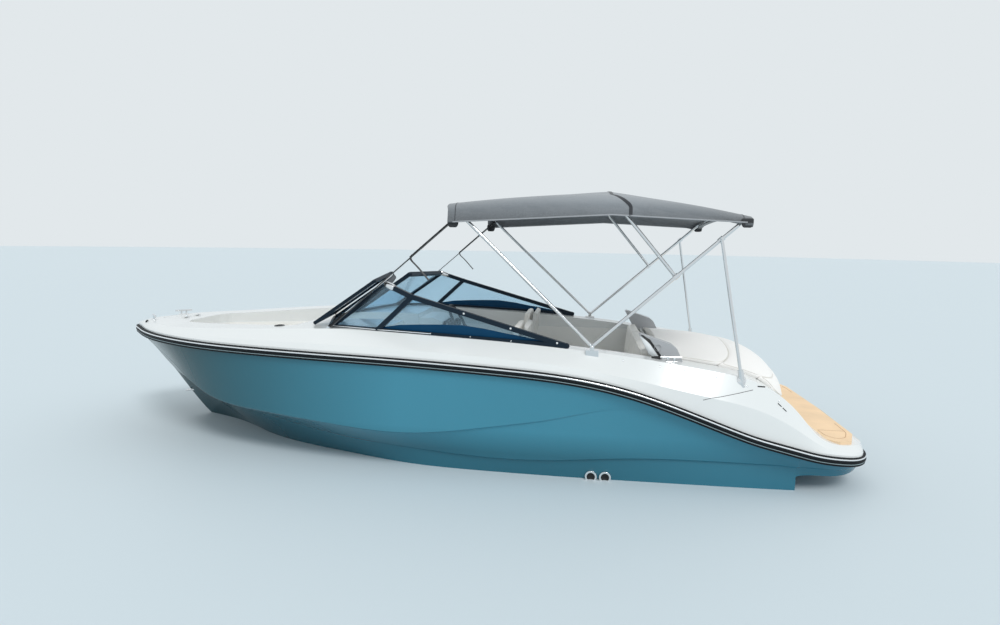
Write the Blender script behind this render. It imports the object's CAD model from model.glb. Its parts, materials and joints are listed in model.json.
import json
import math

import bmesh
import bpy
import numpy as np
from mathutils import Matrix, Vector
from mathutils.bvhtree import BVHTree
from mathutils.geometry import convex_hull_2d


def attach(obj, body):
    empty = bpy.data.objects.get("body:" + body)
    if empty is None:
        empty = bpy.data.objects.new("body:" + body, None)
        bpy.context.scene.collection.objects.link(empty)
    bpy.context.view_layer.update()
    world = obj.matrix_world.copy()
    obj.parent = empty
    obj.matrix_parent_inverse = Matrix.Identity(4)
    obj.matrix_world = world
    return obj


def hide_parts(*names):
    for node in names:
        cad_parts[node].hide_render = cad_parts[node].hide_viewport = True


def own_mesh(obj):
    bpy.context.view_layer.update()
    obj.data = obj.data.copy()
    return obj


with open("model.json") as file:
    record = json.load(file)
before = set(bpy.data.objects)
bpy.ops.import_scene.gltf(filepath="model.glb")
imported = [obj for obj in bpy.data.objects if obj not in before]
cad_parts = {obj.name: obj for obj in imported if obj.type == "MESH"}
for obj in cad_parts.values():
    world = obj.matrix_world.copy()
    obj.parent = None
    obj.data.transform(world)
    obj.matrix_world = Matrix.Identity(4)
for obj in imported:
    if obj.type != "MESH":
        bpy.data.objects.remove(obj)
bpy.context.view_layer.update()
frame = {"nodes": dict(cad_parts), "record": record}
nodes = frame["nodes"]
print("frame loaded:", len(nodes), "nodes")

# Boat frame in metres: x to the bow, y to port, z up from the waterline

# Camera and stage values a user would change
shot = {"place": (-1.105, 5.448, 1.688), "yaw": 7.56, "pitch": 6.60, "roll": 0.98, "lens": 22.54}
studio = {
    "backdrop": (226, 232, 235), "floor": (203, 214, 219), "floorRadius": 90, "floorSides": 96,
    "fill": 1.0, "sun": 1.25, "sunSoftness": 20, "sunTilt": (-32, -24),
}


def tint(red, green, blue):
    # sRGB 0 to 255 turned into the linear values that shaders take
    share = np.array([red, green, blue]) / 255
    return tuple(np.where(share < 0.04045, share / 12.92, ((share + 0.055) / 1.055) ** 2.4))


def aimCamera(shot):
    # Right, up and backward axes: yaw about z from -y, then pitch down, then roll about the view line
    yaw, pitch, roll = (math.radians(shot[k]) for k in ("yaw", "pitch", "roll"))
    ahead = np.array([math.sin(yaw), -math.cos(yaw), 0])
    right = np.array([-math.cos(yaw), -math.sin(yaw), 0])
    up = np.array([0, 0, 1.0])
    view = ahead * math.cos(pitch) - up * math.sin(pitch)
    top = up * math.cos(pitch) + ahead * math.sin(pitch)
    side = right * math.cos(roll) + top * math.sin(roll)
    top = top * math.cos(roll) - right * math.sin(roll)
    camera = bpy.data.objects.new("camera", bpy.data.cameras.new("camera"))
    bpy.context.scene.collection.objects.link(camera)
    matrix = np.eye(4)
    matrix[:3, 0], matrix[:3, 1], matrix[:3, 2], matrix[:3, 3] = side, top, -view, shot["place"]
    camera.matrix_world = Matrix(matrix.tolist())
    camera.data.lens = shot["lens"]
    camera.data.sensor_width = 36
    camera.data.clip_end = 300
    bpy.context.scene.camera = camera


aimCamera(shot)
bpy.context.scene.view_settings.view_transform = "Standard"
print("camera placed")


class Link:
    # One value inside a material: arithmetic on it adds Math nodes
    def __init__(self, finish, socket):
        self.finish = finish
        self.socket = socket

    def math(self, operation, first, second=0.0):
        return self.finish.node("ShaderNodeMath", {"operation": operation}, {0: first, 1: second})

    def __add__(self, other):
        return self.math("ADD", self, other)

    def __radd__(self, other):
        return self.math("ADD", other, self)

    def __sub__(self, other):
        return self.math("SUBTRACT", self, other)

    def __rsub__(self, other):
        return self.math("SUBTRACT", other, self)

    def __mul__(self, other):
        return self.math("MULTIPLY", self, other)

    def __rmul__(self, other):
        return self.math("MULTIPLY", other, self)

    def __gt__(self, other):
        return self.math("GREATER_THAN", self, other)

    def __lt__(self, other):
        return self.math("LESS_THAN", self, other)

    def sine(self):
        return self.math("SINE", self)

    def within(self, low, high):
        # 0 below low, 1 above high and even in between
        sockets = {0: self, 1: low, 2: high, 3: 0.0, 4: 1.0}
        return self.finish.node("ShaderNodeMapRange", {"clamp": True}, sockets)


class Finish:
    # A node material: node() adds any node from its type, its settings and its sockets
    def __init__(self, name, tree=None):
        if tree is None:
            self.material = bpy.data.materials.new(name)
            self.material.use_nodes = True
            tree = self.material.node_tree
        self.tree = tree
        self.shader = tree.nodes.get("Principled BSDF")

    def node(self, kind, settings=None, sockets=None, out=0):
        made = self.tree.nodes.new(kind)
        for key, value in (settings or {}).items():
            setattr(made, key, value)
        for key, value in (sockets or {}).items():
            self.put(made.inputs[key], value)
        return Link(self, made.outputs[out])

    def put(self, socket, value):
        if isinstance(value, Link):
            self.tree.links.new(value.socket, socket)
        elif isinstance(value, tuple) and len(value) == 3 and len(socket.default_value) == 4:
            socket.default_value = (*value, 1)
        else:
            socket.default_value = value

    def set(self, **values):
        # Principled sockets by camelCase name, such as baseColor or coatWeight
        for key, value in values.items():
            words = "".join(" " + c if c.isupper() else c for c in key).strip()
            self.put(self.shader.inputs[words[0].upper() + words[1:]], value)

    def dull(self, level):
        # Strength of the surface's plain reflection, 0.5 for common plastics
        self.shader.inputs["Specular IOR Level"].default_value = level

    def place(self, stretch=(1, 1, 1)):
        # Object coordinates, stretched
        return self.node("ShaderNodeMapping", None, {0: self.node("ShaderNodeTexCoord", out=3), 3: stretch})

    def axes(self):
        # The same coordinates as three values, x, y and z
        split = self.node("ShaderNodeSeparateXYZ", None, {0: self.place()}).socket.node
        return [Link(self, socket) for socket in split.outputs]

    def noise(self, scale, detail, stretch=(1, 1, 1)):
        sockets = {"Vector": self.place(stretch), "Scale": scale, "Detail": detail}
        return self.node("ShaderNodeTexNoise", None, sockets)

    def cells(self, scale, **settings):
        return self.node("ShaderNodeTexVoronoi", settings, {"Vector": self.place(), "Scale": scale})

    def mix(self, share, first, second):
        # Two colours mixed by a share from 0 to 1
        return self.node("ShaderNodeMix", {"data_type": "RGBA"}, {0: share, 6: first, 7: second}, out=2)

    def bump(self, height, distance, strength, below=None):
        sockets = {"Height": height, "Distance": distance, "Strength": strength}
        if below is not None:
            sockets["Normal"] = below
        return self.node("ShaderNodeBump", None, sockets)


def shade(colour, factor):
    # A linear colour made darker or paler
    return tuple(float(c) * factor for c in colour)


def buildStage(studio):
    # Sky, floor disc and sun. Fill is the strength of the sky's light on the boat, not of the sky as seen
    world = bpy.data.worlds.new("studio")
    bpy.context.scene.world = world
    world.use_nodes = True
    sky = Finish("sky", world.node_tree)
    path = "ShaderNodeLightPath"
    seen = (sky.node(path, out=0) + sky.node(path, out=3) + sky.node(path, out=4)) > 0.5
    back = world.node_tree.nodes["Background"]
    sky.put(back.inputs[0], tint(*studio["backdrop"]))
    sky.put(back.inputs[1], seen * (1 - studio["fill"]) + studio["fill"])
    mesh = bpy.data.meshes.new("floor")
    radius, sides = studio["floorRadius"], studio["floorSides"]
    turn = np.linspace(0, 2 * np.pi, sides + 1)[:-1]
    ring = np.stack([radius * np.cos(turn), radius * np.sin(turn), 0 * turn], 1)
    mesh.from_pydata(ring.tolist(), [], [list(range(sides))])
    floor = bpy.data.objects.new("floor", mesh)
    bpy.context.scene.collection.objects.link(floor)
    pale = Finish("floorPaint")
    pale.set(baseColor=tint(*studio["floor"]), roughness=0.55)
    mesh.materials.append(pale.material)
    lamp = bpy.data.lights.new("sun", "SUN")
    lamp.energy = studio["sun"]
    lamp.angle = math.radians(studio["sunSoftness"])
    sun = bpy.data.objects.new("sun", lamp)
    sun.rotation_euler = (*(math.radians(a) for a in studio["sunTilt"]), 0)
    bpy.context.scene.collection.objects.link(sun)


buildStage(studio)
print("stage built")


def orangePeel(made):
    # The fine waviness that sprayed gelcoat keeps
    return made.bump(made.noise(140.0, 2.0), 0.0002, 0.35)


def gelcoat(name, colour, roughness, coat):
    # Sprayed gelcoat: faint cloudy tone and a clear gloss
    made = Finish(name)
    base = made.mix(made.noise(1.3, 3.0), shade(colour, 0.95), shade(colour, 1.04))
    made.set(baseColor=base, roughness=made.noise(6.0, 4.0) * 0.08 + roughness)
    made.set(coatWeight=coat, coatRoughness=0.04, normal=orangePeel(made))
    return made.material


# The hull's teal at midships, and the deeper teals it runs into: colour, share, and from where to where
hullPaint = {
    "midships": tint(66, 138, 160),
    "bow": (tint(6, 50, 52), 0.95, 0.2, 2.3), "stern": (tint(34, 100, 124), 0.45, -1.2, -2.9),
    "bottom": (tint(12, 66, 80), 0.55, 0.34, 0.16), "bottomEnds": (-2.2, -1.2, 0.4),
}


def hullGelcoat(name, paint):
    # Gelcoat that deepens towards the bow, the stern and the bottom, there less at the stern
    made = Finish(name)
    x, _, z = made.axes()
    base = made.mix(made.noise(1.1, 3.0), shade(paint["midships"], 0.95), shade(paint["midships"], 1.05))
    colour, share, start, end = paint["bow"]
    base = made.mix(x.within(start, end) * share, base, colour)
    colour, share, start, end = paint["stern"]
    base = made.mix((0 - x).within(-start, -end) * share, base, colour)
    colour, share, start, end = paint["bottom"]
    back, front, least = paint["bottomEnds"]
    low = (0 - z).within(-start, -end) * (x.within(back, front) * (1 - least) + least)
    base = made.mix(low * share, base, colour)
    made.set(baseColor=base, roughness=made.noise(6.0, 4.0) * 0.06 + 0.2)
    made.dull(0.3)
    made.set(coatWeight=0.22, coatRoughness=0.06, normal=orangePeel(made))
    return made.material


def metal(name, colour, roughness):
    # Polished steel or chrome with smears left by the cloth
    made = Finish(name)
    made.set(baseColor=colour, metallic=1.0, roughness=made.noise(9.0, 5.0) * 0.05 + roughness)
    made.set(normal=made.bump(made.noise(60.0, 3.0), 0.0001, 0.3))
    return made.material


def moulded(name, colour, roughness, grainSize=700.0, grainDepth=0.0002, gloss=0.5):
    # Moulded plastic or rubber: pebbled grain, rubbed a little paler on top
    made = Finish(name)
    tone = made.noise(5.0, 4.0)
    made.set(baseColor=made.mix(tone, shade(colour, 0.85), shade(colour, 1.2)))
    made.set(roughness=tone * 0.12 + roughness, normal=made.bump(made.cells(grainSize), grainDepth, 0.5))
    made.dull(gloss)
    return made.material


def vinyl(name, colour):
    # Upholstery vinyl: fine creases round each grain, over soft dents
    made = Finish(name)
    tone = made.mix(made.noise(2.2, 4.0), shade(colour, 0.93), shade(colour, 1.03))
    grain = made.cells(420.0, feature="DISTANCE_TO_EDGE").within(0.0, 0.12)
    soft = made.bump(made.noise(7.0, 3.0), 0.004, 0.25)
    made.set(baseColor=tone, roughness=made.noise(30.0, 3.0) * 0.12 + 0.38)
    made.set(sheenWeight=0.15, sheenRoughness=0.5, normal=made.bump(grain, 0.0003, 0.5, soft))
    return made.material


def canvas(name, colour, hem=None):
    # Coated acrylic canvas: plain weave, sin(1500 x) sin(1500 y), faded in broad patches
    made = Finish(name)
    x, y, z = made.axes()
    threads = 1500.0
    weave = (x * threads).sine() * (y * threads).sine()
    fade = made.noise(1.8, 5.0)
    base = made.mix(fade, shade(colour, 0.82), shade(colour, 1.25))
    folds = None
    if hem:
        # The valance darkens down to its hem, between two heights, and soft folds run along the boat
        base = made.mix(z.within(*hem), shade(colour, 0.4), base)
        folds = made.bump(made.noise(2.6, 3.0, stretch=(0.8, 3.0, 3.5)), 0.02, 0.7)
    specks = made.noise(260.0, 2.0).within(0.35, 0.8) * 0.35
    made.set(baseColor=made.mix(specks, base, shade(colour, 1.7)), roughness=fade * 0.1 + 0.82)
    made.set(sheenWeight=0.25, sheenRoughness=0.6, normal=made.bump(weave, 0.0003, 0.5, folds))
    return made.material


def glassPane(name, colour):
    # Tinted pane, thin to the light, so its index is below that of solid glass
    made = Finish(name)
    made.set(baseColor=colour, roughness=made.noise(3.0, 3.0) * 0.03 + 0.01, transmissionWeight=0.9)
    made.shader.inputs["IOR"].default_value = 1.25
    return made.material


finishes = {
    "hull_paint": hullGelcoat("hullGelcoat", hullPaint),
    "deck_gelcoat": gelcoat("deckGelcoat", tint(226, 228, 227), 0.2, 0.4),
    "liner": gelcoat("linerGelcoat", tint(240, 240, 237), 0.3, 0.2),
    "black_trim": moulded("railRubber", tint(8, 15, 20), 0.55, gloss=0.2),
    "rail_insert": metal("railSteel", (0.86, 0.87, 0.88), 0.12),
    "deck_pad": moulded("padFoam", tint(240, 209, 172), 0.8, 260.0, 0.0006),
    "steel": metal("stainless", (0.75, 0.76, 0.77), 0.12),
    "engine_paint": moulded("engineEnamel", tint(40, 42, 45), 0.4),
    "drive_paint": moulded("driveEnamel", tint(28, 30, 32), 0.3),
    "frame_paint": moulded("frameCoat", tint(10, 30, 44), 0.4, gloss=0.25),
    "panel_paint": moulded("panelCoat", tint(4, 60, 94), 0.4, gloss=0.15),
    "glass": glassPane("windshieldGlass", tint(196, 224, 240)),
    "canvas": canvas("canopyCanvas", tint(78, 80, 84)),
    "webbing": canvas("strapWebbing", tint(24, 25, 27)),
    "vinyl": vinyl("seatVinyl", tint(246, 243, 237)),
    "grey_vinyl": vinyl("greyVinyl", tint(176, 178, 181)),
    "dash_plastic": moulded("dashPlastic", tint(38, 40, 43), 0.5),
}
for part in frame["record"]["subparts"]:
    piece = nodes[part["node"]]
    piece.data.materials.clear()
    piece.data.materials.append(finishes[part["material_slot"]])
seatShell = moulded("seatShell", tint(206, 206, 203), 0.4)
for name in ("helm_seat_shell", "port_seat_shell"):
    nodes[name].data.materials[0] = seatShell
print("finishes made:", len(finishes))


# Mesh building. Every surface is a whole array of points and its faces
def addPiece(name, points, faces, finish, body, slot):
    # One mesh object from points and faces: doubles merged, faces turned outward, carried by a body
    mesh = bpy.data.meshes.new(name)
    mesh.from_pydata(np.asarray(points, float).tolist(), [], np.asarray(faces).tolist())
    shell = bmesh.new()
    shell.from_mesh(mesh)
    bmesh.ops.remove_doubles(shell, verts=shell.verts, dist=0.00002)
    bmesh.ops.dissolve_degenerate(shell, edges=shell.edges, dist=0.00001)
    bmesh.ops.recalc_face_normals(shell, faces=shell.faces)
    shell.to_mesh(mesh)
    shell.free()
    mesh.shade_smooth()
    mesh.materials.append(finish)
    piece = bpy.data.objects.new(name, mesh)
    bpy.context.scene.collection.objects.link(piece)
    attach(piece, body)
    return piece


def gridFaces(rows, columns, closeRows=False, closeColumns=False, start=0):
    # Quads between neighbouring rows and columns of a grid, which may close on itself either way
    index = np.arange(rows * columns).reshape(rows, columns) + start
    if closeRows:
        index = np.vstack([index, index[:1]])
    if closeColumns:
        index = np.hstack([index, index[:, :1]])
    return np.stack([index[:-1, :-1], index[1:, :-1], index[1:, 1:], index[:-1, 1:]], -1).reshape(-1, 4)


def joined(parts):
    # Several (points, faces) pairs as one pair
    counts = np.cumsum([0] + [len(points) for points, faces in parts])
    points = np.concatenate([points for points, faces in parts])
    return points, np.concatenate([faces + first for (_, faces), first in zip(parts, counts)])


def capped(rows):
    # Rows of a tube with each end drawn in to one point, the mean of its end row
    first, last = (np.broadcast_to(rows[k].mean(0), rows[k].shape) for k in (0, -1))
    return np.concatenate([first[None], rows, last[None]])


def alongLine(corners, shares):
    # The line's points at shares of its length, 0 to 1, in as many axes as its corners have
    corners = np.asarray(corners, float)
    run = np.concatenate([[0], np.cumsum(np.linalg.norm(np.diff(corners, axis=0), axis=1))])
    return np.stack([np.interp(shares * run[-1], run, column) for column in corners.T], 1)


def smoothLine(corners, count, rounds):
    # Even points along the corners, then each inner point moved to (before + 2 itself + after) / 4, in rounds
    line = alongLine(corners, np.linspace(0, 1, count))
    for _ in range(rounds):
        line[1:-1] = (line[:-2] + 2 * line[1:-1] + line[2:]) / 4
    return line


def sweep(line, section, up=(0, 0, 1), closed=False):
    # A section swept along a line: point = line + across * section x + rise * section y,
    # where across = tangent x up and rise = across x tangent
    line, section = np.asarray(line, float), np.asarray(section, float)
    if closed:
        tangent = np.roll(line, -1, 0) - np.roll(line, 1, 0)
    else:
        tangent = np.gradient(line, axis=0)
    tangent /= np.linalg.norm(tangent, axis=1, keepdims=True)
    across = np.cross(tangent, np.broadcast_to(up, line.shape))
    across /= np.linalg.norm(across, axis=1, keepdims=True)
    rise = np.cross(across, tangent)
    points = line[:, None] + across[:, None] * section[None, :, :1] + rise[:, None] * section[None, :, 1:2]
    if not closed:
        points = capped(points)
    return points.reshape(-1, 3), gridFaces(*points.shape[:2], closed, True)


def circle(radius, sides):
    # (r cos a, r sin a)
    turn = np.linspace(0, 2 * np.pi, sides + 1)[:-1]
    return np.stack([radius * np.cos(turn), radius * np.sin(turn)], 1)


def roundedStrip(width, height, radius):
    # Rectangle with a quarter circle, (r cos a, r sin a) from the corner's centre, at each corner
    turn = np.linspace(0, np.pi / 2, 5)
    quarter = radius * np.stack([np.cos(turn), np.sin(turn)], 1) + (width / 2 - radius, height / 2 - radius)
    return np.concatenate([quarter, quarter[::-1] * (-1, 1), -quarter, quarter[::-1] * (1, -1)])


def lathe(profile, centre, axis, sides):
    # Profile rows (radius, height) turned about an axis:
    # point = centre + axis * height + (side cos a + other sin a) * radius
    profile, axis = np.asarray(profile, float), np.asarray(axis, float) / np.linalg.norm(axis)
    helper = np.array([1.0, 0, 0]) if abs(axis[0]) < 0.8 else np.array([0, 1.0, 0])
    side = np.cross(axis, helper)
    side /= np.linalg.norm(side)
    other = np.cross(axis, side)
    turn = np.linspace(0, 2 * np.pi, sides + 1)[:-1]
    ring = np.cos(turn)[:, None] * side + np.sin(turn)[:, None] * other
    points = capped(np.asarray(centre) + profile[:, 1, None, None] * axis + profile[:, 0, None, None] * ring)
    return points.reshape(-1, 3), gridFaces(*points.shape[:2], False, True)


def blockForm(half, radius, counts):
    # Closed block with round edges: a point P of the box's skin moves to q + r (P - q) / |P - q|,
    # where q is P held inside the box less r. Rows stand at h (0.65 t + 0.35 sin(pi t / 2))
    half, radius = np.asarray(half, float), min(radius, min(half) * 0.98)
    evens = [np.linspace(-1, 1, count) for count in counts]
    lines = [h * np.sin(t * np.pi / 2) * 0.35 + h * 0.65 * t for h, t in zip(half, evens)]
    points, faces, first = [], [], 0
    for axis in range(3):
        one, two = [a for a in range(3) if a != axis]
        u, v = np.meshgrid(lines[one], lines[two], indexing="ij")
        for side in (-1, 1):
            skin = np.zeros(u.shape + (3,))
            skin[..., one], skin[..., two], skin[..., axis] = u, v, side * half[axis]
            points.append(skin.reshape(-1, 3))
            faces.append(gridFaces(*u.shape, start=first))
            first += u.size
    points = np.concatenate(points)
    core = np.clip(points, -(half - radius), half - radius)
    away = points - core
    away /= np.maximum(np.linalg.norm(away, axis=1, keepdims=True), 1e-9)
    return core + away * radius, np.concatenate(faces)


def swell(points, half, crown, pull, channels=(), depth=0.004, width=0.007):
    # Cushion shape in its own frame: the top rises by crown (1 - u^2)(1 - v^2), the sides pull in by
    # pull (1 - v^2) u^5 and pull (1 - u^2) v^5, and a channel sinks by depth exp(-(distance / width)^2)
    half = np.asarray(half, float)
    u, v, w = (np.clip(points / half, -1, 1)).T
    moved = points.copy()
    top = np.clip(w, 0, 1)
    moved[:, 2] += crown * (1 - u**2) * (1 - v**2) * top
    moved[:, 0] -= pull * (1 - v**2) * u**5
    moved[:, 1] -= pull * (1 - u**2) * v**5
    for place in channels:
        moved[:, 2] -= depth * np.exp(-(((points[:, 0] - place) / width) ** 2)) * top
    return moved


def rimLine(half, inset, level, count=160):
    # Closed rectangle with round corners: (a cos t, b sin t) / (|cos t|^14 + |sin t|^14)^(1 / 14)
    turn = np.linspace(0, 2 * np.pi, count + 1)[:-1]
    c, s = np.cos(turn), np.sin(turn)
    reach = np.maximum(np.abs(c) ** 14 + np.abs(s) ** 14, 1e-9) ** (-1 / 14)
    return np.stack([(half[0] - inset) * c * reach, (half[1] - inset) * s * reach, np.full(count, level)], 1)


# Sun top. Stations: x, hem z, side z, centre z of the cloth over each bow
canopy = {
    "stations": [(-0.105, 1.815, 1.950, 1.982), (-1.285, 1.882, 2.015, 2.104), (-2.245, 1.838, 1.880, 1.918)],
    "half": 0.948, "hemHalf": 0.966, "corner": 0.085, "front": -0.117, "back": -2.233, "wrap": 0.0145,
    "tail": 0.05, "rows": 120, "sag": 0.010, "thick": 0.0012, "lower": 0.0066, "lift": 0.018, "crown": 1.74,
    "folds": [(27, 1.1, 0.45), (41, -2.0, 0.35), (73, 0.4, 0.2)], "foldDepth": 0.006, "foldReach": 0.12,
    "ripple": (33, 0.7, 0.0018), "sagReach": 0.3, "flare": 0.004, "flat": (2.21, 2.34),
    "binding": (0.024, 0.0026), "slant": 0.13, "slantDrop": 0.16, "seam": (0.005, 0.002), "pocket": 0.052,
    "hem": (0.0045, 0.010, 0.002),
}


def canopyBand(x, canopy):
    # A whole section at each x, from hem to hem, with its outward normals.
    # Crown: z = centre - (centre - side) (y / half)^crown. Corner: (1 - q)^2 A + 2 q (1 - q) C + q^2 D.
    # Below the corner hangs a straight valance
    table = np.array(canopy["stations"])[::-1]
    mid = canopy["stations"][1][0]
    hem, side, centre = (np.interp(x, table[:, 0], table[:, k]) for k in (1, 2, 3))
    near = np.min(np.abs(x[:, None] - np.array([canopy["front"], mid, canopy["back"]])), 1)
    sag = canopy["sag"] * np.clip(near / canopy["sagReach"], 0, 1) ** 1.5
    half, corner = canopy["half"], canopy["corner"]
    share = np.linspace(0, 1, 27)
    y = (half - corner) * share
    # Air under the cloth lifts it between the bows by lift sin(pi t), where t runs from bow to bow
    t = np.where(x > mid, (x - mid) / (canopy["front"] - mid), (x - canopy["back"]) / (mid - canopy["back"]))
    lift = canopy["lift"] * np.sin(np.pi * np.clip(t, 0, 1))
    side, centre = side + lift, centre + lift
    crown = centre[:, None] - (centre - side)[:, None] * (y / half) ** canopy["crown"]
    crown = crown - sag[:, None] * np.cos(share * np.pi / 2)
    start = np.stack([np.full(x.shape, half - corner), crown[:, -1]], 1)
    tip = np.stack([np.full(x.shape, half), side], 1)
    end = np.stack([np.full(x.shape, half + canopy["flare"]), side - corner * 0.8], 1)
    q = np.linspace(0, 1, 13)[1:, None, None]
    bend = (1 - q) ** 2 * start + 2 * q * (1 - q) * tip + q**2 * end
    low = np.stack([np.full(x.shape, canopy["hemHalf"]), hem], 1)
    v = np.linspace(0, 1, 10)[1:, None, None]
    fall = end * (1 - v) + low * v
    # Long soft folds that run out from the bows into the valance, deepest at the hem
    fold = sum(np.sin(x * rate + phase) * size for rate, phase, size in canopy["folds"])
    reach = np.clip(near / canopy["foldReach"], 0, 1)
    fall[:, :, 0] += canopy["foldDepth"] * fold * reach * v[:, :, 0] ** 0.7
    rate, phase, size = canopy["ripple"]
    lean = np.sin(x * rate + phase) * size * reach
    bend[:, :, 0] += lean * q[:, :, 0]
    side = np.concatenate([bend, fall]).transpose(1, 0, 2)
    section = np.concatenate([np.stack([np.broadcast_to(y, crown.shape), crown], 2), side], 1)
    section[:, :, 1] -= canopy["lower"]
    whole = np.concatenate([section[:, :0:-1] * (-1, 1), section], 1)
    points = np.concatenate([np.broadcast_to(x[:, None, None], whole.shape[:2] + (1,)), whole], 2)
    slope = np.gradient(points[:, :, 1:], axis=1)
    normal = np.stack([np.zeros(whole.shape[:2]), -slope[:, :, 1], slope[:, :, 0]], 2)
    return points, normal / np.linalg.norm(normal, axis=2, keepdims=True)


def canopyEnd(points, normal, canopy, ahead):
    # Pocket round a bow: point = edge - n r + r (n cos a + x sin a), then a flat tail back under the cloth
    free = np.clip((np.abs(points[:, 1]) - canopy["half"] + 0.03) / 0.03, 0, 1)[None, :, None]
    radius = canopy["wrap"] * (1 - 0.8 * free)
    along = np.array([ahead, 0, 0.0])
    turn = np.linspace(0, np.pi, 11)[:, None, None]
    wrap = points - normal * radius + radius * (normal * np.cos(turn) + along * np.sin(turn))
    tail = wrap[-1] - along * np.array([0.25, 0.6, 1.0])[:, None, None] * canopy["tail"]
    return np.concatenate([wrap[1:], tail])


def buildCanopy(canopy, cloth, binding):
    x = np.linspace(canopy["front"], canopy["back"], canopy["rows"])
    points, normal = canopyBand(x, canopy)
    front = canopyEnd(points[0], normal[0], canopy, 1.0)[::-1]
    back = canopyEnd(points[-1], normal[-1], canopy, -1.0)
    skin = np.concatenate([front, points, back])
    sheet = addPiece("canopySheet", skin.reshape(-1, 3), gridFaces(*skin.shape[:2]), cloth, "boat", "canvas")
    solid = sheet.modifiers.new("thickness", "SOLIDIFY")
    solid.thickness = canopy["thick"]
    solid.offset = 0
    # Dark binding over the mid bow, which leans aft on its way down the side, and seams beside the end bows
    mid, midHem = canopy["stations"][1][:2]
    columns, pocket, fall = np.arange(points.shape[1]), canopy["pocket"], canopy["slantDrop"]
    outer = np.clip(np.abs(points[0, :, 1]) / canopy["half"] - 0.9, 0, 0.1) / 0.1
    drop = np.clip((midHem + fall - points[0, :, 2]) / fall, 0, 1)
    bands = []
    for place, (width, height) in (
        (mid - canopy["slant"] * outer * drop, canopy["binding"]),
        (canopy["front"] - pocket + 0 * drop, canopy["seam"]),
        (canopy["back"] + pocket + 0 * drop, canopy["seam"]),
    ):
        line, out = canopyBand(place, canopy)
        line = line[columns, columns] + out[columns, columns] * height * 0.6
        bands.append(sweep(line, roundedStrip(height, width, height * 0.4), up=(1, 0, 0)))
    hem = roundedStrip(*canopy["hem"])
    hems = [sweep(points[2:-2, side] + (0, 0, 0.002), hem) for side in (0, -1)]
    made = [
        addPiece("canopyBinding", *joined(bands), binding, "boat", "canvas"),
        addPiece("canopyHem", *joined(hems), hemFinish, "boat", "canvas"),
    ]
    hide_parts("bimini_canopy")
    for piece in [sheet] + made:
        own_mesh(piece)


# Straps from the front bow down to the deck eyes
strap = {
    "eye": (0.8, 0.928, 1.012), "hook": (-0.200, 0.9129, 1.8713), "width": 0.050, "thick": 0.0024,
    "tube": 0.0125, "loopGap": 0.003, "eyeLoop": 0.006, "layer": 0.004, "upturn": 0.16,
    "buckle": 0.38, "clip": 0.47, "fold": 0.45,
    "tailBow": (0.03, 0.002, 0.012), "tailEnd": (0.03, 0.934, 1.385),
}


def buildStraps(strap, webbing, nylon):
    # Bands swept along straight runs and round loops, whose points are head + r (way cos a + out sin a)
    foot, head = np.array(strap["eye"]), np.array(strap["hook"])
    way = (head - foot) / np.linalg.norm(head - foot)
    out = np.array([way[2], 0, -way[0]])
    bands, clips = [], []
    flat = roundedStrip(strap["thick"], strap["width"], strap["thick"] * 0.4)
    for side in (1, -1):
        mirror = np.array([1, side, 1])
        # Loop round the bow, the run down, the loop through the eye and the fold back up to the buckle
        turn = np.linspace(0.15 * np.pi, 1.85 * np.pi, 17)[:, None]
        ring = strap["tube"] + strap["loopGap"]
        loop = head + ring * (np.cos(turn) * way + np.sin(turn) * out)
        foldEnd = head - way * strap["fold"] + out * strap["layer"]
        eyeTurn = np.linspace(0.1, np.pi - 0.1, 9)[:, None]
        eyeLoop = foot - way * 0.0045 + strap["eyeLoop"] * (np.cos(eyeTurn) * out - np.sin(eyeTurn) * way)
        down = head - way * 0.03 - out * 0.002
        back = foot + way * strap["upturn"] + out * strap["layer"]
        run = np.concatenate([[foldEnd], loop, [down], eyeLoop[::-1], [back]])
        bands.append(sweep(run * mirror, flat, up=(0, 1, 0)))
        # Free tail below the buckle, bent away and hanging
        top, tip = head - way * strap["clip"] + out * 0.005, np.array(strap["tailEnd"])
        bow = (tip - top) * 0.45 + np.array(strap["tailBow"])
        tail = smoothLine([top, top - way * 0.04 + (0, 0.004, 0), top + bow, tip], 24, 14)
        bands.append(sweep(tail * mirror, flat, up=(0, 1, 0)))
        for key, share in (("buckle", 1.0), ("clip", 0.9)):
            clips.append(buckleForm((head - way * strap[key]) * mirror, way * mirror, strap["width"] * share))
    webs = addPiece("topStraps", *joined(bands), webbing, "bimini_front", "webbing")
    buckles = addPiece("strapBuckles", *joined(clips), nylon, "bimini_front", "black_trim")
    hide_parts("bimini_straps")
    for piece in (webs, buckles):
        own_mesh(piece)


def buckleForm(centre, way, width):
    # Ladder buckle: a round-cornered frame, (a cos t, b sin t) / (|cos t|^6 + |sin t|^6)^(1 / 6), and a bar
    out = np.array([way[2], 0, -way[0]])
    long, wide = 0.020, width / 2 + 0.006
    turn = np.linspace(0, 2 * np.pi, 41)[:-1, None]
    c, s = np.cos(turn), np.sin(turn)
    reach = (np.abs(c) ** 6 + np.abs(s) ** 6) ** (-1 / 6)
    ring = centre + long * c * reach * way + wide * s * reach * np.array([0, 1, 0])
    bar = centre + np.linspace(-1, 1, 5)[:, None] * (0, wide, 0) + out * 0.003
    edge = sweep(ring, circle(0.0042, 8), up=tuple(out), closed=True)
    return joined([edge, sweep(bar, circle(0.0034, 8), up=tuple(out))])


# Padded pieces: a pad is (half sizes, edge radius, points each way, crown, pull, channels) in its own frame.
# Piping runs round its rim, in and down by a share of the edge radius
piping = {"radius": 0.0042, "sides": 8, "inset": 0.28}


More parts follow.
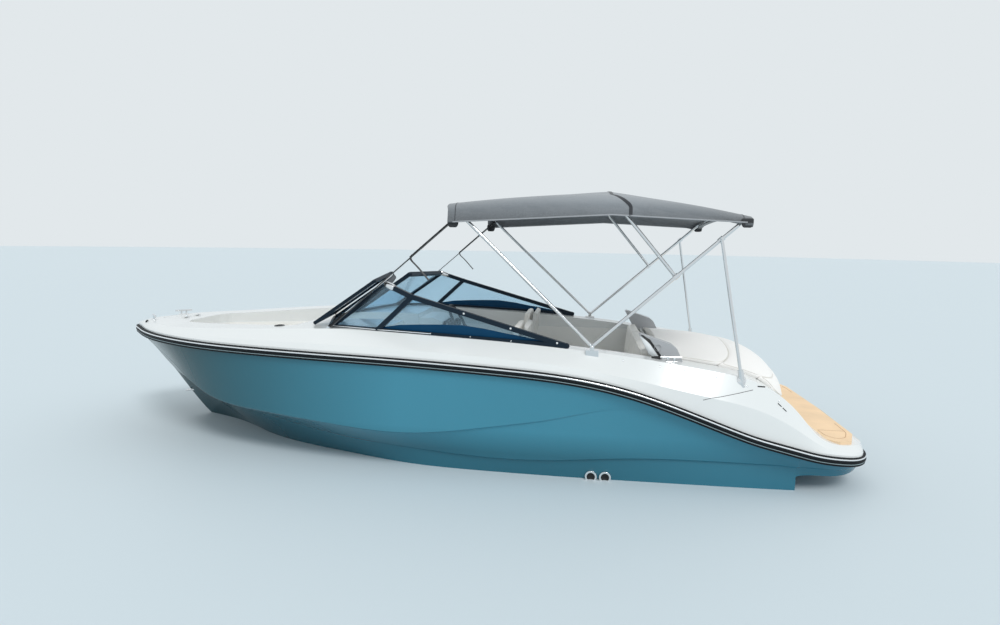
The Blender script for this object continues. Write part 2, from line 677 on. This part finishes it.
def padPiece(name, pads, finish, body, node):
    # Each pad comes with the map to its place
    forms, welts = [], []
    pipe = circle(piping["radius"], piping["sides"])
    for (half, radius, counts, crown, pull, channels), place in pads:
        points, faces = blockForm(half, radius, counts)
        forms.append((place(swell(points, half, crown, pull, channels), half), faces))
        inset = radius * piping["inset"]
        rim = place(swell(rimLine(half, inset, half[2] - inset), half, crown, pull), half)
        welts.append(sweep(rim, pipe, closed=True, up=padUp(rim)))
    piece = addPiece(name, *joined(forms), finish, body, "vinyl")
    addPiece(name + "Welt", *joined(welts), weltFinish, body, "vinyl")
    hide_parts(node)


def padUp(rim):
    # Mean normal of a closed rim, the sum of its corner products
    centre = rim.mean(0)
    normal = np.cross(rim - centre, np.roll(rim, -1, 0) - centre).sum(0)
    return tuple(normal / np.linalg.norm(normal))


def straight(centre, turn=0.0):
    # Own frame moved to a centre after a turn about z
    c, s = math.cos(turn), math.sin(turn)
    matrix = np.array([[c, s, 0], [-s, c, 0], [0, 0, 1]])
    return lambda points, half: points @ matrix + centre


def between(lowLine, highLine, y):
    # Length along two x, z lines, width along y and thickness from the low line to the high one
    def place(points, half):
        u, w = (points[:, 0] / half[0] + 1) / 2, (points[:, 2] / half[2] + 1) / 2
        low, high = (alongLine(line, np.clip(u, 0, 1)) for line in (lowLine, highLine))
        flat = low * (1 - w)[:, None] + high * w[:, None]
        return np.stack([flat[:, 0], y + points[:, 1], flat[:, 1]], 1)
    return place


# Sunpad over the engine hatch: top lines (x, z) at three distances from the centreline, and the lid below
sunpad = {
    "across": (0.0, 0.45, 0.727),
    "tops": [
        [
            (-1.690, 0.938), (-2.080, 0.914), (-2.325, 0.880), (-2.490, 0.811),
            (-2.600, 0.743), (-2.668, 0.640), (-2.690, 0.560),
        ], [
            (-1.690, 0.902), (-2.080, 0.876), (-2.325, 0.838), (-2.480, 0.772),
            (-2.580, 0.700), (-2.640, 0.606), (-2.655, 0.537),
        ], [
            (-1.690, 0.868), (-2.080, 0.822), (-2.300, 0.772), (-2.400, 0.738),
            (-2.455, 0.708), (-2.495, 0.672), (-2.506, 0.645),
        ],
    ],
    "lid": [(-1.700, 0.848), (-2.100, 0.793), (-2.400, 0.702), (-2.530, 0.608), (-2.600, 0.532)],
    "half": (0.62, 0.727, 0.03), "panels": (0.0, 0.50, 0.845, 1.0), "gap": 0.0016, "radius": 0.012,
    "spacing": 0.018, "counts": (72, 7), "crown": 0.004, "rim": (0.003, 0.027, 240), "welt": 0.0034,
}


def onSunpad(points, half, sunpad):
    # Height between the lid and the top. The top at y is the quadratic in y^2 through the three known lines
    u, w = (points[:, 0] / half[0] + 1) / 2, (points[:, 2] / half[2] + 1) / 2
    reach = np.abs(points[:, 1])
    s = reach**2
    known = np.array(sunpad["across"]) ** 2
    fine = np.linspace(0, 1, 61)
    top = np.zeros((len(points), 2))
    for index, line in enumerate(sunpad["tops"]):
        curve = smoothLine(line, len(fine), 14)
        one, two = np.delete(known, index)
        weight = (s - one) * (s - two) / ((known[index] - one) * (known[index] - two))
        top += weight[:, None] * np.stack([np.interp(u, fine, column) for column in curve.T], 1)
    lid = np.array(sunpad["lid"])
    ends = np.interp(reach, sunpad["across"], [line[-1][0] for line in sunpad["tops"]])
    lowX = lid[0, 0] + (np.maximum(ends, lid[-1, 0]) - lid[0, 0]) * u
    low = np.stack([lowX, np.interp(lowX, *lid[::-1].T) + 0.0004], 1)
    flat = low * (1 - w)[:, None] + top * w[:, None]
    return np.stack([flat[:, 0], points[:, 1], flat[:, 1]], 1)


def buildSunpad(sunpad, finish):
    # Panels end to end, each a closed block with its own round edges, so that a sewn valley runs between them
    full = sunpad["half"]
    bounds = (2 * np.array(sunpad["panels"]) - 1) * full[0]
    forms, welts = [], []
    for low, high in zip(bounds[:-1], bounds[1:]):
        half = np.array([(high - low - sunpad["gap"]) / 2, *full[1:]])
        middle = ((high + low) / 2, 0, 0)
        counts = (max(int((high - low) / sunpad["spacing"]), 8), *sunpad["counts"])
        points, faces = blockForm(half, sunpad["radius"], counts)
        forms.append((onSunpad(swell(points, half, sunpad["crown"], 0.0) + middle, full, sunpad), faces))
        rim = onSunpad(rimLine(half, *sunpad["rim"]) + middle, full, sunpad)
        welts.append(sweep(rim, circle(sunpad["welt"], 8), closed=True, up=padUp(rim)))
    piece = addPiece("sunpadCushion", *joined(forms), finish, "hatch", "vinyl")
    addPiece("sunpadWelt", *joined(welts), weltFinish, "hatch", "vinyl")
    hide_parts("sunpad")


# Seats: each pad, its places, and the x, z lines of each backrest
seats = {
    "sit": ((0.187, 0.214, 0.055), 0.032, (34, 38, 10), 0.014, 0.007, (-0.06, 0.07)),
    "rest": ((0.21, 0.214, 0.034), 0.026, (36, 38, 8), 0.010, 0.006, (-0.08, 0.04)),
    "centre": (-0.3925, 0.0, 0.5558), "y": 0.47,
    "restFront": [(-0.515, 0.613), (-0.548, 0.800), (-0.580, 1.028)],
    "restBack": [(-0.586, 0.613), (-0.606, 0.800), (-0.631, 1.028)],
}
bench = {
    "sit": ((0.2375, 0.2795, 0.054), 0.030, (34, 40, 9), 0.012, 0.005, (-0.08, 0.06)),
    "rest": ((0.186, 0.247, 0.055), 0.030, (30, 38, 9), 0.010, 0.005, (0.02,)),
    "centre": (-1.2725, 0.0, 0.4747), "sitY": (-0.56, 0.0, 0.56), "restY": (-0.494, 0.0, 0.494),
    "restFront": [(-1.510, 0.533), (-1.525, 0.700), (-1.542, 0.888)],
    "restBack": [(-1.640, 0.533), (-1.630, 0.700), (-1.620, 0.903)],
}
bowPads = {
    "sit": ((0.298, 0.15, 0.044), 0.024, (40, 26, 8), 0.0, 0.0, (-0.1, 0.1)), "sitRun": (1.200, 2.392),
    "rest": ((0.245, 0.104, 0.033), 0.024, (40, 26, 8), 0.010, 0.0, (-0.1, 0.1)), "restRun": (1.366, 2.350),
    "outer": [(2.420, 0.220), (2.370, 0.330), (1.850, 0.550), (1.360, 0.700), (1.180, 0.750)],
    "inner": [(2.404, 0.078), (2.300, 0.078), (1.900, 0.178), (1.330, 0.288), (1.180, 0.288)],
    "low": 0.5005, "high": 0.589, "backLow": 0.5905, "backHigh": 0.799, "backThick": 0.066, "gap": 0.004,
    "seatInset": 0.023, "backInset": 0.0235,
}


def onBowSeat(side, first, last, pads):
    # Length from x first to x last, width from the inner to the outer line, height from low to high
    def place(points, half):
        u, v, w = ((points[:, k] / half[k] + 1) / 2 for k in range(3))
        x = first + (last - first) * u
        outer = np.interp(x, *np.array(pads["outer"])[::-1].T) - pads["seatInset"]
        inner = np.interp(x, *np.array(pads["inner"])[::-1].T)
        z = pads["low"] + (pads["high"] - pads["low"]) * w
        return np.stack([x, side * (inner + (outer - inner) * v), z], 1)
    return place


def onBowBack(side, first, last, pads):
    # Length along x, height along z, thickness inwards from the side wall
    def place(points, half):
        u, v, w = ((points[:, k] / half[k] + 1) / 2 for k in range(3))
        x = first + (last - first) * u
        outer = np.interp(x, *np.array(pads["outer"])[::-1].T) - pads["backInset"]
        z = pads["backLow"] + (pads["backHigh"] - pads["backLow"]) * v
        return np.stack([x, side * (outer - pads["backThick"] * w), z], 1)
    return place


def buildSeats(seats, bench, bowPads, finish):
    # Two swivel seats, three bench pads and backs, and a pair of pads on each side of the bow
    for side, body in ((1, "port_seat"), (-1, "helm_seat")):
        y = side * seats["y"]
        pads = [
            (seats["sit"], straight(np.array(seats["centre"]) + (0, y, 0))),
            (seats["rest"], between(seats["restBack"], seats["restFront"], y)),
        ]
        padPiece(body.split("_")[0] + "SeatPads", pads, finish, body, body + "_cushion")
    pads = [(bench["sit"], straight(np.array(bench["centre"]) + (0, y, 0))) for y in bench["sitY"]]
    padPiece("benchPads", pads, finish, "boat", "bench_cushion")
    pads = [(bench["rest"], between(bench["restBack"], bench["restFront"], y)) for y in bench["restY"]]
    padPiece("benchBackPads", pads, finish, "boat", "bench_backrest")
    for name, node, key, onPart in (
        ("bowSeatPads", "bow_seat_cushions", "sit", onBowSeat),
        ("bowBackPads", "bow_backrests", "rest", onBowBack),
    ):
        low, high = bowPads[key + "Run"]
        aft, ahead = (low + high) / 2 - bowPads["gap"] / 2, (low + high) / 2 + bowPads["gap"] / 2
        pads = []
        for side in (1, -1):
            pads += [(bowPads[key], onPart(side, *ends, bowPads)) for ends in ((low, aft), (ahead, high))]
        padPiece(name, pads, finish, "boat", node)


weltFinish = vinyl("weltVinyl", tint(232, 228, 221))
hemFinish = canvas("hemBinding", tint(150, 152, 155))
topCanvas = canvas("topCanvas", tint(134, 138, 142), hem=(1.84, 1.98))
buildCanopy(canopy, topCanvas, canvas("topBinding", tint(44, 46, 50)))
print("sun top sewn")
buildStraps(strap, finishes["webbing"], moulded("buckleNylon", tint(24, 25, 27), 0.4))
print("straps laid")
buildSunpad(sunpad, vinyl("sunpadVinyl", tint(252, 249, 245)))
buildSeats(seats, bench, bowPads, finishes["vinyl"])
print("cushions made")

# Places on the solids, found by rays
def skinOf(name):
    # A node's surface, ready for rays
    mesh = nodes[name].data
    return BVHTree.FromPolygons([v.co for v in mesh.vertices], [p.vertices for p in mesh.polygons])


def lay(skin, points, way, lift):
    # Each point sent along a direction onto a surface, then raised by lift along its outward normal.
    # A miss is left out
    way = np.asarray(way, float) / np.linalg.norm(way)
    found = []
    for point in np.atleast_2d(points):
        spot, normal = skin.ray_cast(Vector(point - way * 0.25), Vector(way))[:2]
        if spot is None:
            continue
        normal = np.array(normal) * (-1 if np.dot(normal, way) > 0 else 1)
        found.append((np.array(spot) + normal * lift, normal))
    return np.array([f[0] for f in found]), np.array([f[1] for f in found])


def touch(skin, point, way, lift=0.0):
    # One point laid on a surface, and the normal there
    return (found[0] for found in lay(skin, [point], way, lift))


def button(spot, normal, radius, height, sides=14):
    # Low dome: radius r cos t at height h sin t, on a short skirt that reaches 1 mm into what carries it
    turn = np.linspace(0, np.pi / 2, 6)[:-1]
    profile = np.stack([radius * np.cos(turn), height * np.sin(turn)], 1)
    return lathe(np.concatenate([[(radius, -0.001)], profile]), spot, normal, sides)


def plate(outline, low, high):
    # A flat outline in x and z as a thin prism from y low to y high
    ring = np.asarray(outline, float)
    rows = [np.stack([ring[:, 0], np.full(len(ring), y), ring[:, 1]], 1) for y in (low, high)]
    points = capped(np.stack(rows))
    return points.reshape(-1, 3), gridFaces(*points.shape[:2], False, True)


def bothSides(forms):
    # The same forms again on the other side, y turned to -y
    return joined(forms + [(points * (1, -1, 1), faces) for points, faces in forms])


# Rub rail: section (out, up) from the line along its steel insert, and its two beads
rail = {
    "section": [
        (-0.0340, 0.0250), (-0.0150, 0.0250), (-0.0095, 0.0242), (-0.0070, 0.0220), (-0.0068, 0.0190),
        (-0.0110, 0.0178), (-0.0110, 0.0048), (-0.0060, 0.0036), (-0.0036, -0.0010), (-0.0030, -0.0070),
        (-0.0040, -0.0130), (-0.0068, -0.0168), (-0.0105, -0.0178), (-0.0105, -0.0236), (-0.0076, -0.0246),
        (-0.0080, -0.0330), (-0.0125, -0.0370), (-0.0340, -0.0370),
    ],
    "bead": (-0.0104, 0.0113, 0.0066), "line": (-0.0104, -0.0207, 0.0030), "count": 420, "rounds": 5,
}


def railPath(count, rounds):
    # Outermost plan points of the insert's mesh, in order, then spaced evenly along the loop and smoothed
    corners = np.array([v.co for v in nodes["rub_rail_insert"].data.vertices])
    loop = []
    for index in convex_hull_2d([Vector(c[:2]) for c in corners]):
        same = np.hypot(*(corners[:, :2] - corners[index, :2]).T) < 0.0002
        loop.append(corners[same].mean(0))
    loop = np.array(loop)
    x, y = loop[:, 0], loop[:, 1]
    if (x * np.roll(y, -1) - np.roll(x, -1) * y).sum() < 0:
        loop = loop[::-1]
    line = alongLine(np.concatenate([loop, loop[:1]]), np.linspace(0, 1, count + 1)[:-1])
    for _ in range(rounds):
        line = (np.roll(line, 1, 0) + 2 * line + np.roll(line, -1, 0)) / 4
    return line


def buildRail(rail):
    # One closed path carries three sections: the rubber, the bright bead and the pale line
    line = railPath(rail["count"], rail["rounds"])
    skin = sweep(line, rail["section"], closed=True)
    rubber = addPiece("railRubber", *skin, finishes["black_trim"], "boat", "black_trim")
    out, up, radius = rail["bead"]
    skin = sweep(line, circle(radius, 12) + (out, up), closed=True)
    bead = addPiece("railBead", *skin, metal("railBright", (0.93, 0.94, 0.95), 0.2), "boat", "rail_insert")
    out, up, radius = rail["line"]
    skin = sweep(line, circle(radius, 8) + (out, up), closed=True)
    vinylLine = moulded("railPipingVinyl", tint(150, 168, 172), 0.35)
    addPiece("railPiping", *skin, vinylLine, "boat", "black_trim")
    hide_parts("rub_rail")
    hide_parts("rub_rail_insert")


# Fittings on the deck and the hull: places are x, y to port and, where a third is given, a z to look from.
# Profiles are (radius, height) rows
fittings = {
    "studs": [
        (-1.396, 1.060), (-1.650, 1.058), (-1.820, 1.056), (-2.035, 1.060), (-2.239, 1.060), (-2.453, 1.050),
    ],
    "studSize": (0.0065, 0.0045),
    "seam": [(-1.935, 1.144, 0.632), (-2.049, 1.124, 0.654), (-2.186, 1.089, 0.680), (-2.276, 1.064, 0.700)],
    "vent": [(-2.309, 1.047, 0.722), (-2.361, 1.038, 0.721)],
    "hingeMarks": [(-2.457, 1.060, 0.603), (-2.490, 1.062, 0.573)], "markReach": (0.012, 0, 0.012),
    "padLine": [
        (-2.845, 0.700, 0.36), (-2.850, 0.835, 0.36), (-2.905, 0.902, 0.36),
        (-2.972, 0.868, 0.36), (-3.028, 0.735, 0.36), (-3.036, 0.500, 0.36),
    ],
    "padCross": [(-2.850, 0.700, 0.36), (-3.030, 0.700, 0.36)],
    "cleats": [(2.790, 0.215, -46), (-1.737, 0.950, 6)], "cleatBase": (0.046, 0.017, 0.005),
    "poleFoot": (-2.200, 1.049, 0.9),
    "flange": [
        (0.031, -0.002), (0.031, 0.003), (0.027, 0.0055), (0.022, 0.006), (0.0185, 0.012), (0.016, 0.013),
    ],
    "outlets": (-1.200, -1.300), "outletHeight": 0.024, "outletFace": 1.100, "lipRadius": 0.0355,
    "throat": [(0.0292, -0.020), (0.0292, -0.012), (0.022, -0.016), (0.010, -0.019)],
    "lipStrip": (0.013, 0.004, 0.0019),
    "latch": (-1.642, 0.905, 0.95), "latchBlock": ((0.036, 0.016, 0.009), 0.007, (18, 12, 8)),
    "bowLight": ((2.800, 0.300, 0.98), (0.016, 0.012, 20)),
    "speaker": ((1.300, 0.750, 1.05), (0.042, 0.010, 36)),
}


def buildFittings(fittings, dark, bright):
    # Everything here is laid on the deck or the platform pad by rays from above or from aside
    deck, pad = skinOf("deck"), skinOf("platform_pad")
    aside, down = (0, -0.6, -0.8), (0, 0, -1)
    domes = [button(*touch(deck, (*place, 0.8), down), *fittings["studSize"]) for place in fittings["studs"]]
    addPiece("deckStuds", *bothSides(domes), bright, "boat", "steel")
    lines = []
    for key, width in (("seam", 0.0035), ("vent", 0.009)):
        spots, normals = lay(deck, smoothLine(fittings[key], 26, 3), aside, 0.0002)
        lines.append(sweep(spots, roundedStrip(width, 0.0012, 0.0004), up=tuple(normals.mean(0))))
    reach = np.array(fittings["markReach"])
    for mark in fittings["hingeMarks"]:
        spots, normals = lay(deck, [mark + reach, mark - reach], aside, 0.001)
        lines.append(sweep(np.linspace(spots[0], spots[1], 5), circle(0.003, 8), up=tuple(normals[0])))
    addPiece("deckSeams", *bothSides(lines), dark, "boat", "black_trim")
    grooves = []
    for key, count, rounds, width in (("padLine", 60, 6, 0.005), ("padCross", 20, 0, 0.004)):
        spots = lay(pad, smoothLine(fittings[key], count, rounds), down, 0.0002)[0]
        grooves.append(sweep(spots, roundedStrip(width, 0.0014, 0.0005)))
    grooveFoam = moulded("padGroove", tint(196, 156, 116), 0.7)
    addPiece("padGrooves", *bothSides(grooves), grooveFoam, "boat", "deck_pad")
    bases = []
    for x, y, angle in fittings["cleats"]:
        spot, _ = touch(deck, (x, y, 0.95), down)
        points, faces = blockForm(fittings["cleatBase"], 0.0048, (20, 12, 5))
        bases.append((straight(spot + (0, 0, 0.002), math.radians(angle))(points, None), faces))
    addPiece("cleatBases", *bothSides(bases), bright, "boat", "steel")
    flange = lathe(fittings["flange"], *touch(deck, fittings["poleFoot"], down), 32)
    addPiece("poleFlanges", *bothSides([flange]), bright, "boat", "steel")
    # Exhaust outlets: a rolled lip, and the dark throat behind it
    throats, lips = [], []
    turn = np.linspace(0, 2 * np.pi, 49)[:-1]
    ring = fittings["lipRadius"] * np.stack([np.cos(turn), 0 * turn, np.sin(turn)], 1)
    for x in fittings["outlets"]:
        centre = np.array([x, fittings["outletFace"], fittings["outletHeight"]])
        throats.append(lathe(fittings["throat"], centre, (0, 1, 0), 32))
        lip = centre + (0, 0.001, 0) + ring
        lips.append(sweep(lip, roundedStrip(*fittings["lipStrip"]), up=(0, 1, 0), closed=True))
    addPiece("outletThroats", *joined(throats), dark, "boat", "black_trim")
    addPiece("outletLips", *joined(lips), bright, "boat", "steel")
    # Latch beside the corner panel, bow light and bow speaker
    spot, _ = touch(deck, fittings["latch"], down, 0.004)
    points, faces = blockForm(*fittings["latchBlock"])
    black = [(straight(spot + (0, 0, 0.003), 0.25)(points, None), faces)]
    for place, sizes in (fittings["bowLight"], fittings["speaker"]):
        black.append(button(*touch(deck, place, down), *sizes))
    addPiece("deckFittings", *joined(black), dark, "boat", "black_trim")


# Corner panels: dark strip, the pale part ahead of it and the round recess, in x and z on the outer face
corner = {
    "strip": [
        (-1.528, 1.020), (-1.543, 1.021), (-1.598, 0.988), (-1.690, 0.862), (-1.672, 0.858), (-1.586, 0.975),
    ],
    "pale": [(-1.5205, 1.013), (-1.585, 0.973), (-1.669, 0.859), (-1.645, 0.857), (-1.596, 0.880)],
    "face": 0.850, "well": (-1.655, 0.850, 0.932),
    "wellProfile": [
        (0.029, -0.001), (0.029, 0.0016), (0.025, 0.0030), (0.021, 0.0012), (0.018, -0.004), (0.008, -0.006),
    ],
}


def buildCorners(corner, dark, pale, grey):
    # Thin prisms on the outer face, and a turned well
    face = corner["face"]
    strip = plate(corner["strip"], face - 0.002, face + 0.0026)
    addPiece("cornerStrips", *bothSides([strip]), dark, "boat", "black_trim")
    front = plate(corner["pale"], face - 0.002, face + 0.0016)
    addPiece("cornerFaces", *bothSides([front]), pale, "boat", "grey_vinyl")
    well = lathe(corner["wellProfile"], corner["well"], (0, 1, 0), 36)
    addPiece("cornerWells", *bothSides([well]), grey, "boat", "grey_vinyl")


# Windshield trim: places on the port side, in metres
screen = {
    "dots": [(-0.252, 1.154), (-0.596, 1.058), (-0.932, 0.966)], "dotSize": (0.0075, 0.005, 18),
    "capFrom": (0.372, 0.893, 1.344), "capTo": (0.292, 0.928, 1.316), "outside": 1.10,
    "capSizes": [0.86, 1.0, 1.04, 1.05, 1.05, 1.05, 1.04, 1.0, 0.9],
    "baseLine": [(0.800, 1.010), (0.600, 1.010), (0.414, 1.008), (0.250, 1.003), (0.000, 0.994)],
    "screws": [(0.250, 1.005), (0.000, 0.996), (-0.300, 0.984), (-0.600, 0.965)],
    "screwSize": (0.0045, 0.002, 12), "capStrip": (0.046, 0.046, 0.016), "baseRadius": 0.0032,
}


def buildScreen(screen, bright, pale):
    # Dots, screws and a pale line laid on the frame by rays from the port side
    frameSkin = skinOf("windshield_frame")
    inward, outside = (0, -1, 0), screen["outside"]
    white, steel = [], []
    for x, z in screen["dots"]:
        white.append(button(*touch(frameSkin, (x, outside, z), inward), *screen["dotSize"]))
    line = smoothLine([(x, outside, z) for x, z in screen["baseLine"]], 40, 4)
    spots = smoothLine(lay(frameSkin, line, inward, 0.001)[0], 60, 8)
    white.append(sweep(spots, circle(screen["baseRadius"], 8)))
    addPiece("screenTrim", *bothSides(white), pale, "boat", "frame_paint")
    # Cap over the frame's top corner: a square tube whose rows are scaled about their middles
    sizes = np.array(screen["capSizes"])[:, None, None]
    run = np.linspace(screen["capFrom"], screen["capTo"], len(sizes))
    points, faces = sweep(run, roundedStrip(*screen["capStrip"]))
    rows = points.reshape(len(sizes) + 2, -1, 3)
    middle = rows.mean(1, keepdims=True)
    rows[1:-1] = middle[1:-1] + (rows[1:-1] - middle[1:-1]) * sizes
    steel.append((rows.reshape(-1, 3), faces))
    for x, z in screen["screws"]:
        steel.append(button(*touch(frameSkin, (x, outside, z), inward), *screen["screwSize"]))
    addPiece("screenCaps", *bothSides(steel), bright, "boat", "steel")


# Helm: dials (y, distance down the panel, radius) and switches on the panel, whose top edge leans aft
helm = {
    "top": (0.190, 0, 0.908), "bottom": (0.222, 0, 0.712),
    "dials": [(-0.430, 0.050, 0.030), (-0.520, 0.046, 0.038), (-0.610, 0.050, 0.030)],
    "switches": (-0.700, -0.665, -0.400, -0.365), "switchDown": 0.120,
    "switchBlock": ((0.013, 0.009, 0.006), 0.003, (10, 9, 6)),
    "needleWay": (0, 0.75, 0.66), "needleRadius": 0.0009,
}


def buildHelm(helm, dark, bright, pale):
    # Dials are profiles turned about the panel's outward way, which is at right angles to its slope
    top, bottom = np.array(helm["top"]), np.array(helm["bottom"])
    down = (bottom - top) / np.linalg.norm(bottom - top)
    out = np.array([down[2], 0, -down[0]])
    needleWay = np.array(helm["needleWay"])
    bezels, faces, needles, keys = [], [], [], []
    for y, drop, radius in helm["dials"]:
        centre = top + down * drop + (0, y, 0)
        bezel = [(radius, -0.002), (radius, 0.004), (radius - 0.002, 0.0065), (radius - 0.005, 0.0055)]
        bezel += [(radius - 0.006, 0.002), (radius * 0.5, 0.0016)]
        bezels.append(lathe(bezel, centre, out, 40))
        face = [(radius - 0.0055, 0.0022), (radius - 0.008, 0.003), (radius * 0.4, 0.0032)]
        faces.append(lathe(face, centre, out, 36))
        hub = centre + out * 0.0042
        needle = np.linspace(hub - needleWay * 0.006, hub + needleWay * radius * 0.6, 6)
        needles.append(sweep(needle, circle(helm["needleRadius"], 6), up=tuple(out)))
        needles.append(button(centre + out * 0.0035, out, 0.004, 0.002, 12))
    for y in helm["switches"]:
        points, quads = blockForm(*helm["switchBlock"])
        place = top + down * helm["switchDown"] + (0, y, 0) + out * 0.003
        keys.append((place + points @ np.array([down, (0, 1, 0), out]), quads))
    addPiece("dialBezels", *joined(bezels), bright, "boat", "steel")
    addPiece("dialFaces", *joined(faces + keys), dark, "boat", "dash_plastic")
    addPiece("dialNeedles", *joined(needles), pale, "boat", "dash_plastic")


# Drive and top hardware: places of bolt heads, their profiles, and the canvas pockets at the cloth's corners
hardware = {
    "plateBolts": [(-2.622, y, z) for y in (-0.145, 0.145) for z in (-0.235, -0.120, 0.030, 0.160)],
    "boltHead": [(0.011, -0.001), (0.011, 0.005), (0.009, 0.007), (0.004, 0.0075)],
    "hingeBolt": (-1.180, 1.0615, 0.950),
    "hingeHead": [(0.010, -0.002), (0.010, 0.003), (0.008, 0.0052), (0.003, 0.006)],
    "pockets": [(-0.150, 0.938, 1.806), (-2.200, 0.952, 1.832)], "pocketHalf": (0.040, 0.012, 0.032),
    "pocketEdge": 0.010, "pocketTaper": 0.35,
}


def buildHardware(hardware, bright, dark):
    # Bolt heads are turned profiles, with six sides on the transom plate
    bolts = [lathe(hardware["boltHead"], place, (-1, 0, 0), 6) for place in hardware["plateBolts"]]
    addPiece("transomBolts", *joined(bolts), bright, "boat", "steel")
    head = lathe(hardware["hingeHead"], hardware["hingeBolt"], (0, 1, 0), 24)
    addPiece("hingeBolts", *bothSides([head]), bright, "boat", "steel")
    # A pocket narrows downwards: x shrinks by taper (depth / half height)^2
    corners = []
    for place in hardware["pockets"]:
        points, faces = blockForm(hardware["pocketHalf"], hardware["pocketEdge"], (16, 8, 14))
        depth = np.clip(-points[:, 2] / hardware["pocketHalf"][2], 0, 1)
        points[:, 0] *= 1 - hardware["pocketTaper"] * depth**2
        corners.append((points + place, faces))
    pockets = addPiece("cornerPockets", *bothSides(corners), dark, "boat", "canvas")
    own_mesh(pockets)


polished = metal("polishedSteel", (0.84, 0.85, 0.86), 0.16)
trimBlack = moulded("trimBlack", tint(18, 19, 21), 0.4)
trimWhite = moulded("trimWhite", tint(226, 230, 232), 0.4)
buildRail(rail)
print("rail fitted")
buildFittings(fittings, trimBlack, polished)
buildCorners(corner, trimBlack, trimWhite, finishes["grey_vinyl"])
buildScreen(screen, polished, trimWhite)
print("deck and windshield trimmed")
buildHelm(helm, trimBlack, polished, trimWhite)
buildHardware(hardware, polished, canvas("pocketCanvas", tint(40, 42, 45)))
print("helm and hardware fitted")
